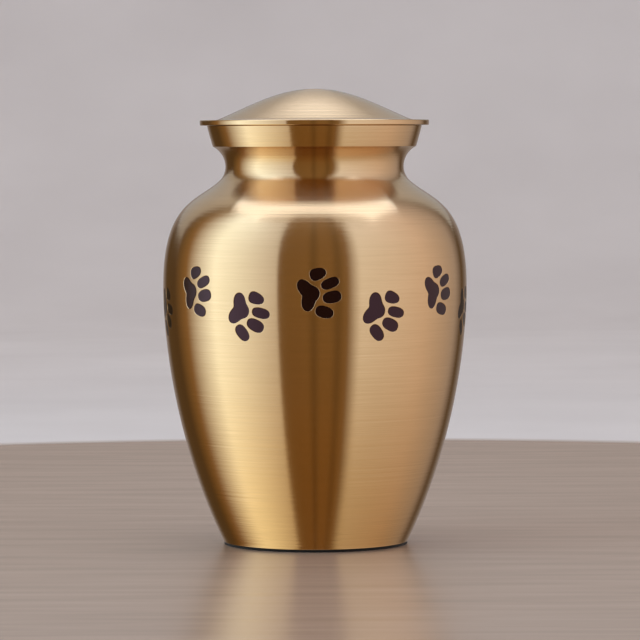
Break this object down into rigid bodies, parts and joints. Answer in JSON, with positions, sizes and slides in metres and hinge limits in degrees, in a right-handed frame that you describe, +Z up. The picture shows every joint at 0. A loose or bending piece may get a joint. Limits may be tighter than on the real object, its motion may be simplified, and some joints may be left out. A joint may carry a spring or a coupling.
{
  "type": "pet cremation urn",
  "caption": "Hollow brass vase urn with a narrow neck, a domed lid that lifts off, a felt pad under the foot and a band of engraved paw prints round the belly.",
  "frame": {"origin": "middle of the felt pad's underside, where the urn stands", "axes": "+Z up along the axis of the urn; the front of the urn faces -Y"},
  "size_m": [0.17, 0.1699, 0.2547],
  "materials": {
    "brass": "satin, brushed round the axis, lacquered",
    "enamel": "gloss black fill in the engraving",
    "felt": "matt pressed felt"
  },
  "bodies": {
    "root": {"urn_body": "brass", "lid": "brass", "felt_pad": "felt"}
  },
  "joints": []
}
